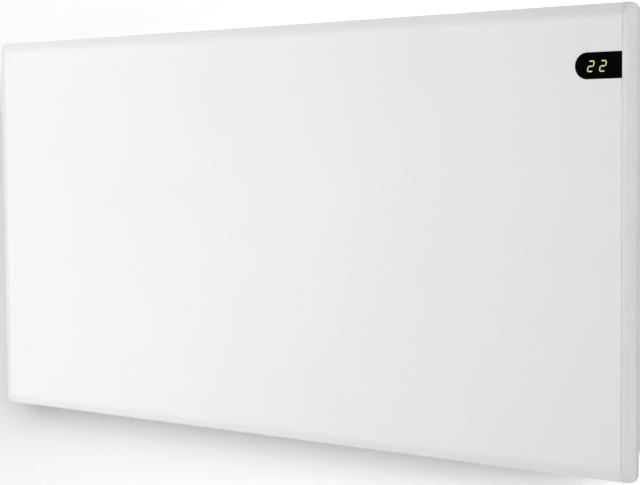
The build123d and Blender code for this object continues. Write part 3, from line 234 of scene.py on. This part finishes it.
def extruded(name, colour, rough=0.36):
    """Aluminium section with die lines along its length."""
    s = Shader(name)
    lines = s.noise(500.0, detail=5.0, rough=0.7, stretch=(0.02, 1, 1))
    dust = s.noise(40.0, detail=4.0)
    edge = s.edges(radius=0.0006)
    tone = s.mottle(lines, colour, dark=0.86, light=1.06)
    tone = s.mix(s.span(dust, 0.5, 0.8, to=(0.0, 0.35)), tone, shade(colour, 0.72))
    # Painted highlight: lighter along outer and inner edges.
    tone = s.cover(tone, edge, 0.6, shade(colour, 1.2))
    roughness = s.span(lines, to=(rough - 0.06, rough + 0.08))
    return s.finish(tone, roughness, s.bump(lines, 0.15, distance=0.0002), Metallic=1.0)


def tarnished(name, colour, heat, rough=0.4):
    """Sheath of a heating rod: oxide bands from straw to grey."""
    s = Shader(name)
    bands = s.noise(22.0, stretch=(1, 3, 3))
    fine = s.noise(700.0, detail=4.0, stretch=(0.1, 1, 1))
    tone = s.mix(s.span(bands, 0.35, 0.68), colour, heat)
    tone = s.mix(s.span(fine, 0.4, 0.7, to=(0.0, 0.4)), tone, shade(colour, 1.3))
    roughness = s.span(fine, to=(rough - 0.08, rough + 0.1))
    return s.finish(tone, roughness, s.bump(fine, 0.1, distance=0.0002), Metallic=1.0)


def ceramic(name, colour):
    """Fired insulator: faint clouding and open pits."""
    s = Shader(name)
    pit = s.noise(800.0)
    tone = s.mottle(s.noise(60.0), colour, dark=0.93, light=1.03)
    # Painted shade: darker in the pits.
    tone = s.mix(s.span(pit, 0.66, 0.74, to=(0.0, 0.6)), tone, shade(colour, 0.6))
    return s.finish(tone, s.span(pit, to=(0.5, 0.65)), s.bump(pit, 0.15))


def rubber(name, colour, rough=0.6, braid=0.0):
    """Soft insulation; a braided sleeve when braid is over 0."""
    s = Shader(name)
    cloud = s.noise(90.0)
    tone = s.mottle(cloud, colour, dark=0.9, light=1.08)
    if braid:
        height = s.math("MULTIPLY", s.waves(700.0, "DIAGONAL"), s.waves(900.0, "X"))
        tone = s.cover(tone, height, braid, shade(colour, 0.7))
    else:
        height = s.noise(1800.0)
    roughness = s.span(cloud, to=(rough - 0.05, rough + 0.08))
    return s.finish(tone, roughness, s.bump(height, 0.25), Specular_IOR_Level=0.3)


def board(name, colour, copper):
    """Lacquered circuit board: buried tracks, pads and a slight sheen."""
    s = Shader(name)
    tracks = s.new("ShaderNodeTexBrick")
    s.link(s.coord.outputs["Object"], tracks.inputs["Vector"])
    tracks.inputs["Scale"].default_value = 190.0
    tracks.inputs["Mortar Size"].default_value = 0.035
    broken = s.math(
        "MULTIPLY", tracks.outputs["Fac"], s.span(s.noise(70.0, detail=1.0), 0.48, 0.52)
    )
    pads = s.span(s.cells(260.0), 0.16, 0.13)
    tone = s.mottle(s.noise(25.0), colour, dark=0.85, light=1.12)
    tone = s.cover(tone, broken, 0.6, shade(colour, 1.7))
    tone = s.cover(tone, pads, 0.8, copper)
    roughness = s.span(s.noise(300.0), to=(0.28, 0.36))
    return s.finish(tone, roughness, s.bump(broken, 0.1), Coat_Weight=0.3)


def striped(name, colour, pitch):
    """Flat ribbon of parallel wires."""
    s = Shader(name)
    ribs = s.waves(pitch, "Z")
    tone = s.mix(ribs, shade(colour, 0.7), shade(colour, 1.1))
    tone = s.mix(s.span(s.noise(50.0), 0.4, 0.8, to=(0.0, 0.3)), tone, shade(colour, 0.85))
    roughness = s.span(ribs, 0.0, 1.0, to=(0.45, 0.55))
    return s.finish(tone, roughness, s.bump(ribs, 0.5, distance=0.0004))


def glow(name, colour, strength):
    """Lit bar of the display: an even glow behind a faintly diffusing face."""
    s = Shader(name)
    grain = s.noise(1500.0, detail=2.0)
    tone = s.mix(s.span(grain), shade(colour, 0.96), colour)
    s.link(tone, s.bsdf.inputs["Emission Color"])
    s.bsdf.inputs["Emission Strength"].default_value = strength
    roughness = s.span(grain, to=(0.35, 0.45))
    normal = s.bump(grain, 0.03, distance=0.0002)
    return s.finish(shade(colour, 0.25), roughness, normal, Specular_IOR_Level=0.1)


FRONT_WHITE = rgb(0.838, 0.830, 0.852)
CASING_WHITE = rgb(0.800, 0.796, 0.806)
CAP_WHITE = rgb(0.750, 0.748, 0.749)
HOUSING_WHITE = rgb(0.782, 0.778, 0.784)
LENS_BLACK = rgb(0.0012, 0.0012, 0.0014)
DIGIT_YELLOW = rgb(0.70, 0.74, 0.36)
LAMINATE_GREEN = rgb(0.02, 0.16, 0.07)
TRACK_COPPER = rgb(0.75, 0.62, 0.35)
BRACKET_ZINC = rgb(0.64, 0.65, 0.67)
FIN_ALUMINIUM = rgb(0.70, 0.71, 0.72)
BUTTON_GREY = rgb(0.40, 0.41, 0.42)

finishes = {
    "front_panel": enamel("front_enamel", FRONT_WHITE),
    "rear_casing": enamel("casing_enamel", CASING_WHITE, rough=0.46),
    "outlet_grille": enamel("grille_enamel", CASING_WHITE, rough=0.44),
    "right_end_cap": moulded("cap_plastic", CAP_WHITE, rough=0.4, grain=0.05, edge_highlight=0.03),
    "control_housing": moulded("housing_plastic", HOUSING_WHITE, edge_highlight=0.03),
    "display_window": gloss("window_acrylic", LENS_BLACK, rough=0.14, specular=0.01),
    "display_digits": glow("digit_glow", DIGIT_YELLOW, strength=0.9),
    "display_module": gloss("module_case", rgb(0.02, 0.02, 0.022), rough=0.3),
    "display_holder": moulded("holder_plastic", rgb(0.03, 0.03, 0.033)),
    "display_board": board("display_laminate", LAMINATE_GREEN, TRACK_COPPER),
    "control_board": board("control_laminate", LAMINATE_GREEN, TRACK_COPPER),
    "power_board": board("power_laminate", rgb(0.03, 0.15, 0.06), rgb(0.7, 0.68, 0.62)),
    "display_ribbon": striped("ribbon_film", rgb(0.42, 0.43, 0.45), pitch=1570.0),
    "plus_button": moulded("button_plastic", BUTTON_GREY, rough=0.42, grain=0.08, edge_highlight=0.15),
    "tactile_switches": zinc("switch_can", rgb(0.5, 0.5, 0.5), spangle=400.0),
    "power_switch_body": gloss("switch_frame", rgb(0.018, 0.018, 0.02), rough=0.3),
    "power_switch_rocker": gloss("switch_rocker", rgb(0.022, 0.022, 0.024), rough=0.26),
    "power_switch_marks": moulded("switch_marks", rgb(0.78, 0.78, 0.75), rough=0.55),
    "power_relay": gloss("relay_case", rgb(0.02, 0.07, 0.26), rough=0.3),
    "supply_transformer": moulded("transformer_case", rgb(0.025, 0.025, 0.027), rough=0.45),
    "smoothing_capacitor": gloss("capacitor_sleeve", rgb(0.02, 0.03, 0.08), rough=0.25),
    "lead_connector": moulded("connector_nylon", rgb(0.70, 0.67, 0.58), rough=0.4),
    "terminal_block": moulded("terminal_polyamide", rgb(0.62, 0.61, 0.56), rough=0.45),
    "cord_inlet_gland": moulded("gland_nylon", rgb(0.028, 0.028, 0.03), rough=0.5),
    "lead_grommet": rubber("grommet_rubber", rgb(0.03, 0.03, 0.03)),
    "room_sensor": gloss("sensor_resin", rgb(0.68, 0.68, 0.64), rough=0.3),
    "heat_shield": zinc("shield_galvanised", rgb(0.62, 0.63, 0.64), spangle=60.0),
    "element_fins": extruded("fin_aluminium", FIN_ALUMINIUM),
    "element_rod": tarnished("rod_sheath", rgb(0.30, 0.28, 0.27), rgb(0.42, 0.30, 0.20)),
    "element_terminals": zinc("terminal_steel", rgb(0.68, 0.67, 0.64), spangle=300.0),
    "left_element_bush": ceramic("bush_ceramic", rgb(0.74, 0.71, 0.65)),
    "left_element_bracket": zinc("bracket_galvanised", rgb(0.60, 0.61, 0.62), spangle=60.0),
    "thermal_cutout": gloss("cutout_phenolic", rgb(0.05, 0.035, 0.025), rough=0.4),
    "casing_screws": zinc("screw_zinc", rgb(0.60, 0.60, 0.61), spangle=300.0),
    "left_element_lead": rubber("lead_braid", rgb(0.62, 0.61, 0.57), braid=0.6),
    "earth_lead": rubber("earth_insulation", rgb(0.30, 0.42, 0.06)),
    "supply_leads": rubber("supply_insulation", rgb(0.16, 0.075, 0.03)),
    "signal_lead": rubber("signal_insulation", rgb(0.04, 0.04, 0.045)),
    "bracket_left_upright": zinc(
        "wall_bracket_zinc", BRACKET_ZINC, spangle=80.0, streak=(1, 1, 0.1)
    ),
    "bracket_upper_rail": zinc("wall_rail_zinc", BRACKET_ZINC, spangle=80.0, streak=(0.1, 1, 1)),
    "left_latch_lever": moulded("latch_acetal", rgb(0.62, 0.63, 0.64), rough=0.4, edge_highlight=0.1),
    "left_latch_spring": zinc("spring_steel", rgb(0.50, 0.50, 0.51), rough=0.28, spangle=200.0),
}
same_finish = {
    "outlet_grille": ["inlet_grille"],
    "plus_button": ["minus_button", "ok_button"],
    "casing_screws": ["board_screws", "element_bracket_screws", "shield_screws", "bracket_rivets"],
    "element_terminals": ["left_latch_pin", "right_latch_pin"],
    "left_element_bush": ["right_element_bush"],
    "left_element_bracket": ["right_element_bracket"],
    "left_element_lead": ["right_element_lead"],
    "signal_lead": ["sensor_lead"],
    "bracket_left_upright": ["bracket_right_upright"],
    "bracket_upper_rail": ["bracket_lower_rail"],
    "left_latch_lever": ["right_latch_lever"],
    "left_latch_spring": ["right_latch_spring"],
}
for first, others in same_finish.items():
    for other in others:
        finishes[other] = finishes[first]
for name, node in nodes.items():
    for slot in node.material_slots:
        slot.link = "OBJECT"
        slot.material = finishes[name]


# ---- latch springs ----
# Each leaf spring gives way when the lever above it is pressed. Its copy hangs from the wall
# bracket, and the imported spring is hidden.
spring_leaves = []
for side_name in ("left", "right"):
    spring_node = nodes[f"{side_name}_latch_spring"]
    leaf = bpy.data.objects.new(f"{side_name}_spring_leaf", spring_node.data.copy())
    bpy.context.collection.objects.link(leaf)
    leaf.matrix_world = spring_node.matrix_world
    leaf.data.materials.clear()
    leaf.data.materials.append(finishes["left_latch_spring"])
    spring_leaves.append(leaf)
    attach(leaf, "wall_bracket")
    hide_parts(f"{side_name}_latch_spring")
    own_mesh(leaf)


# ---- stage ----
FLOOR_Z = -0.62
WALL_TOP_Z = 6.0
STAGE_REACH = 12.0

# Distances from the object's middle over which the stage's own white rises.
LIFT_START = 0.7
LIFT_END = 2.4

PALE_WALL = rgb(0.95, 0.95, 0.95)
PALE_FLOOR = rgb(0.48, 0.48, 0.48)
WHITE_LIGHT = rgb(1.0, 1.0, 1.0)


def stage_plane(name, corners, material):
    mesh = bpy.data.meshes.new(name)
    mesh.from_pydata(corners, [], [(0, 1, 2, 3)])
    mesh.materials.append(material)
    plane = bpy.data.objects.new(name, mesh)
    bpy.context.collection.objects.link(plane)
    plane.visible_shadow = False
    return plane


def add_math(tree, operation, a, b):
    node = tree.nodes.new("ShaderNodeMath")
    node.operation = operation
    tree.links.new(a, node.inputs[0])
    tree.links.new(b, node.inputs[1])
    return node.outputs[0]


def looked_at(tree, path):
    """1 for the rays that show a surface, 0 for those that light the object."""
    direct = add_math(tree, "MAXIMUM", path.outputs["Is Camera Ray"], path.outputs["Is Glossy Ray"])
    return add_math(tree, "MAXIMUM", direct, path.outputs["Is Transmission Ray"])


def stage_material(name, colour, near_lift, far_lift, bounce=1.0):
    """Matt pale surface that shows only its front side.

    An even white lifts it for the camera: weakly near the object, where the
    shadow has to stay, and more strongly where the lamps no longer reach. Bounce
    is the share of its colour with which it lights the object.
    """
    material = bpy.data.materials.new(name)
    material.use_nodes = True
    tree = material.node_tree
    tree.nodes.clear()
    path = tree.nodes.new("ShaderNodeLightPath")
    tint = tree.nodes.new("ShaderNodeMix")
    tint.data_type = "RGBA"
    tint.inputs[MIX_COLOUR_A].default_value = colour
    tint.inputs[MIX_COLOUR_B].default_value = shade(colour, bounce)
    matt = tree.nodes.new("ShaderNodeBsdfDiffuse")
    coord = tree.nodes.new("ShaderNodeTexCoord")
    reach = tree.nodes.new("ShaderNodeVectorMath")
    reach.operation = "LENGTH"
    lift = tree.nodes.new("ShaderNodeMapRange")
    lift.interpolation_type = "SMOOTHSTEP"
    lift.inputs["From Min"].default_value = LIFT_START
    lift.inputs["From Max"].default_value = LIFT_END
    lift.inputs["To Min"].default_value = near_lift
    lift.inputs["To Max"].default_value = far_lift
    light = tree.nodes.new("ShaderNodeEmission")
    lit_front = tree.nodes.new("ShaderNodeAddShader")
    clear_back = tree.nodes.new("ShaderNodeBsdfTransparent")
    side = tree.nodes.new("ShaderNodeNewGeometry")
    mix = tree.nodes.new("ShaderNodeMixShader")
    out = tree.nodes.new("ShaderNodeOutputMaterial")
    link = tree.links.new
    link(path.outputs["Is Diffuse Ray"], tint.inputs["Factor"])
    link(tint.outputs[MIX_COLOUR_OUT], matt.inputs["Color"])
    link(coord.outputs["Object"], reach.inputs[0])
    link(reach.outputs["Value"], lift.inputs["Value"])
    strength = add_math(tree, "MULTIPLY", looked_at(tree, path), lift.outputs["Result"])
    link(strength, light.inputs["Strength"])
    link(matt.outputs[0], lit_front.inputs[0])
    link(light.outputs[0], lit_front.inputs[1])
    link(side.outputs["Backfacing"], mix.inputs["Fac"])
    link(lit_front.outputs[0], mix.inputs[1])
    link(clear_back.outputs[0], mix.inputs[2])
    link(mix.outputs[0], out.inputs["Surface"])
    return material


wall = stage_plane(
    "stage_wall",
    [
        (-STAGE_REACH, 0, FLOOR_Z),
        (STAGE_REACH, 0, FLOOR_Z),
        (STAGE_REACH, 0, WALL_TOP_Z),
        (-STAGE_REACH, 0, WALL_TOP_Z),
    ],
    stage_material("wall_paint", PALE_WALL, near_lift=0.11, far_lift=0.95, bounce=0.55),
)
floor = stage_plane(
    "stage_floor",
    [
        (-STAGE_REACH, -STAGE_REACH, FLOOR_Z),
        (STAGE_REACH, -STAGE_REACH, FLOOR_Z),
        (STAGE_REACH, 0, FLOOR_Z),
        (-STAGE_REACH, 0, FLOOR_Z),
    ],
    stage_material("floor_paint", PALE_FLOOR, near_lift=0.56, far_lift=0.95),
)


# ---- light ----
# The world is white to look at but lights the object only faintly.
WORLD_FILL = 0.02
WORLD_SHOWN = 1.0

world = bpy.data.worlds.new("studio")
bpy.context.scene.world = world
world.use_nodes = True
world_tree = world.node_tree
world_tree.nodes.clear()
world_mix = world_tree.nodes.new("ShaderNodeMixShader")
world_path = world_tree.nodes.new("ShaderNodeLightPath")
world_tree.links.new(looked_at(world_tree, world_path), world_mix.inputs["Fac"])
for socket, strength in ((1, WORLD_FILL), (2, WORLD_SHOWN)):
    background = world_tree.nodes.new("ShaderNodeBackground")
    background.inputs["Color"].default_value = WHITE_LIGHT
    background.inputs["Strength"].default_value = strength
    world_tree.links.new(background.outputs[0], world_mix.inputs[socket])
world_out = world_tree.nodes.new("ShaderNodeOutputWorld")
world_tree.links.new(world_mix.outputs[0], world_out.inputs["Surface"])


def area_light(name, place, target, size, watts):
    data = bpy.data.lights.new(name, "AREA")
    data.shape = "RECTANGLE"
    data.size, data.size_y = size
    data.energy = watts
    lamp = bpy.data.objects.new(name, data)
    lamp.location = place
    lamp.rotation_mode = "QUATERNION"
    lamp.rotation_quaternion = (Vector(target) - Vector(place)).to_track_quat("-Z", "Y")
    bpy.context.collection.objects.link(lamp)
    return lamp


# The two front lamps are aimed past the left end, so that the panel is brightest there.
object_lamps = [
    area_light("key_light", (0.2, -2.4, 0.5), (-1.4, -1.8, 0.1), (1.0, 1.2), watts=52),
    area_light("low_light", (-0.5, -2.4, 0.1), (-2.0, -1.15, 0.0), (1.0, 1.2), watts=26),
    area_light("side_light", (3.0, -2.6, 0.4), (1.1, -2.3, 0.1), (1.2, 1.2), watts=43),
    area_light("rim_light", (3.2, 0.6, 0.3), (0.36, -0.04, 0.0), (1.0, 1.6), watts=6),
    area_light("back_light", (0.3, 2.6, 1.0), (0, 0, 0), (2.4, 2.4), watts=62),
]
# The wall has a broad light of its own from the right, so that the soft shadow
# falls down and to the left.
wall_lamp = area_light(
    "wall_light", (4.953, -4.619, 1.886), (-3.0, -0.3, 0.0), (7.0, 3.0), watts=725
)

wall_only = bpy.data.collections.new("wall_only")
wall_only.objects.link(wall)
wall_lamp.light_linking.receiver_collection = wall_only
all_but_wall = bpy.data.collections.new("all_but_wall")
for lit in [floor, *nodes.values(), *spring_leaves]:
    all_but_wall.objects.link(lit)
for lamp in object_lamps:
    lamp.light_linking.receiver_collection = all_but_wall


# ---- camera ----
# Solved from the outline of the object in the photo.
SENSOR_WIDTH_MM = 36.0
PHOTO_WIDTH_PIXELS = 640.0
FOCAL_LENGTH_PIXELS = 1608.0
CAMERA_PLACE = (0.918, -1.198, 0.076)
CAMERA_RIGHT = (0.79139, 0.61125, -0.00836)
CAMERA_FORWARD = (-0.61061, 0.78975, -0.05878)

camera_data = bpy.data.cameras.new("camera")
camera_data.sensor_width = SENSOR_WIDTH_MM
camera_data.lens = FOCAL_LENGTH_PIXELS / PHOTO_WIDTH_PIXELS * SENSOR_WIDTH_MM
camera = bpy.data.objects.new("camera", camera_data)
bpy.context.collection.objects.link(camera)
forward = Vector(CAMERA_FORWARD).normalized()
up = Vector(CAMERA_RIGHT).normalized().cross(forward).normalized()
right = forward.cross(up)
turn = Matrix((right, up, -forward)).transposed().to_4x4()
camera.matrix_world = Matrix.Translation(CAMERA_PLACE) @ turn
bpy.context.scene.camera = camera
bpy.context.scene.view_settings.view_transform = "Standard"
